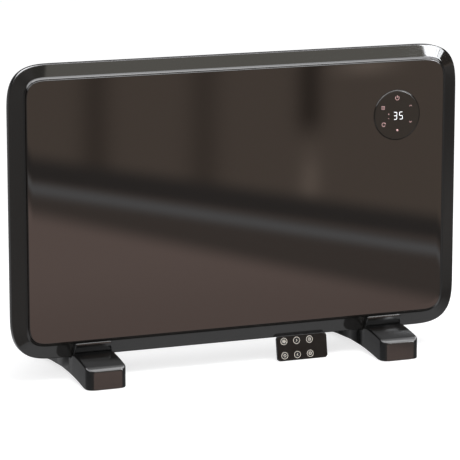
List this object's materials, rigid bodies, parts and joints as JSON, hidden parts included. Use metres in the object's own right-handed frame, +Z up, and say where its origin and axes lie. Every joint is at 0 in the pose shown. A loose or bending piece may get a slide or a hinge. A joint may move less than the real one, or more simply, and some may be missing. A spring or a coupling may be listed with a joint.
{
  "type": "convector heater",
  "caption": "Free-standing convector heater with a black glass front, a round touch display, two bar feet and a card remote.",
  "frame": {"origin": "on the floor, in the middle of the footprint", "axes": "+X to the heater's right as seen from the front, +Y to its back, +Z up"},
  "size_m": [0.75, 0.25, 0.496],
  "materials": {
    "frame_plastic": "moulded, high gloss black",
    "panel_glass": "toughened, enamelled black behind",
    "lens_smoke": "smoked, polished",
    "bond_silicone": "cured strip",
    "foot_plastic": "moulded, gloss black",
    "pad_rubber": "matt",
    "housing_paint": "satin black powder coat",
    "black_moulding": "fine texture",
    "rocker_plastic": "polished",
    "zinc_steel": "zinc plated",
    "bright_shield": "aluminised sheet",
    "element_aluminium": "extruded",
    "rod_steel": "sheathed",
    "ceramic": "unglazed ceramic",
    "brass_pin": "bare",
    "box_moulding": "flame resistant moulding",
    "circuit_board": "solder resist",
    "blue_case": "moulded case",
    "digit_case": "display case",
    "remote_black": "polished face",
    "remote_grey": "fine texture",
    "key_rubber": "soft touch",
    "emitter_tint": "tinted lens"
  },
  "bodies": {
    "heater": {"front_frame": "frame_plastic", "glass_panel": "panel_glass", "touch_lens": "lens_smoke", "glass_bond": "bond_silicone", "foot_left": "foot_plastic", "foot_right": "foot_plastic", "foot_pads_left": "pad_rubber", "foot_pads_right": "pad_rubber", "rear_housing": "housing_paint", "outlet_grille": "black_moulding", "display_cup": "black_moulding", "sensor_clip": "black_moulding", "cord_gland": "black_moulding", "gland_nut": "black_moulding", "main_switch_body": "black_moulding", "housing_screws": "zinc_steel", "foot_screws": "zinc_steel", "foot_nuts": "zinc_steel", "partition_plate": "zinc_steel", "element_bracket_left": "zinc_steel", "element_bracket_right": "zinc_steel", "cutout_bracket": "zinc_steel", "heat_shield": "bright_shield", "heating_element": "element_aluminium", "element_rod": "rod_steel", "room_sensor": "rod_steel", "touch_springs": "rod_steel", "element_bushes": "ceramic", "terminal_block": "ceramic", "thermal_cutout": "ceramic", "element_terminals": "brass_pin", "thermal_fuse": "brass_pin", "control_box": "box_moulding", "control_box_lid": "box_moulding", "tilt_cradle": "box_moulding", "power_board": "circuit_board", "display_board": "circuit_board", "relay": "blue_case", "filter_capacitor": "blue_case", "digit_module": "digit_case"},
    "rocker": {"main_switch_rocker": "rocker_plastic"},
    "pendulum": {"tilt_pendulum": "zinc_steel"},
    "remote": {"remote_back_shell": "remote_grey", "remote_face": "remote_black", "remote_board": "circuit_board", "remote_emitter": "emitter_tint"},
    "tray": {"battery_tray": "black_moulding", "coin_cell": "rod_steel"},
    "button_power": {"key_power": "key_rubber"},
    "button_settings": {"key_settings": "key_rubber"},
    "button_up": {"key_up": "key_rubber"},
    "button_down": {"key_down": "key_rubber"},
    "button_mode": {"key_mode": "key_rubber"},
    "button_timer": {"key_timer": "key_rubber"}
  },
  "joints": [
    {"name": "main_rocker", "type": "hinge", "parent": "heater", "child": "rocker", "pos_m": [0.282, 0.046, 0.132], "axis": [1, 0, 0], "range_deg": [-16, 0]},
    {"name": "tip_pendulum", "type": "hinge", "parent": "heater", "child": "pendulum", "pos_m": [0.272, 0.007, 0.0831], "axis": [1, 0, 0], "range_deg": [-25, 25]},
    {"name": "remote_draw", "type": "slide", "parent": "heater", "child": "remote", "axis": [0, -1, 0], "range_m": [0, 0.2]},
    {"name": "tray_draw", "type": "slide", "parent": "remote", "child": "tray", "axis": [1, 0, 0], "range_m": [0, 0.02]},
    {"name": "press_power", "type": "slide", "parent": "remote", "child": "button_power", "axis": [0, 0.9848, -0.1736], "range_m": [0, 0.0005], "stiffness_N_per_m": 300},
    {"name": "press_settings", "type": "slide", "parent": "remote", "child": "button_settings", "axis": [0, 0.9848, -0.1736], "range_m": [0, 0.0005], "stiffness_N_per_m": 300},
    {"name": "press_up", "type": "slide", "parent": "remote", "child": "button_up", "axis": [0, 0.9848, -0.1736], "range_m": [0, 0.0005], "stiffness_N_per_m": 300},
    {"name": "press_down", "type": "slide", "parent": "remote", "child": "button_down", "axis": [0, 0.9848, -0.1736], "range_m": [0, 0.0005], "stiffness_N_per_m": 300},
    {"name": "press_mode", "type": "slide", "parent": "remote", "child": "button_mode", "axis": [0, 0.9848, -0.1736], "range_m": [0, 0.0005], "stiffness_N_per_m": 300},
    {"name": "press_timer", "type": "slide", "parent": "remote", "child": "button_timer", "axis": [0, 0.9848, -0.1736], "range_m": [0, 0.0005], "stiffness_N_per_m": 300}
  ]
}
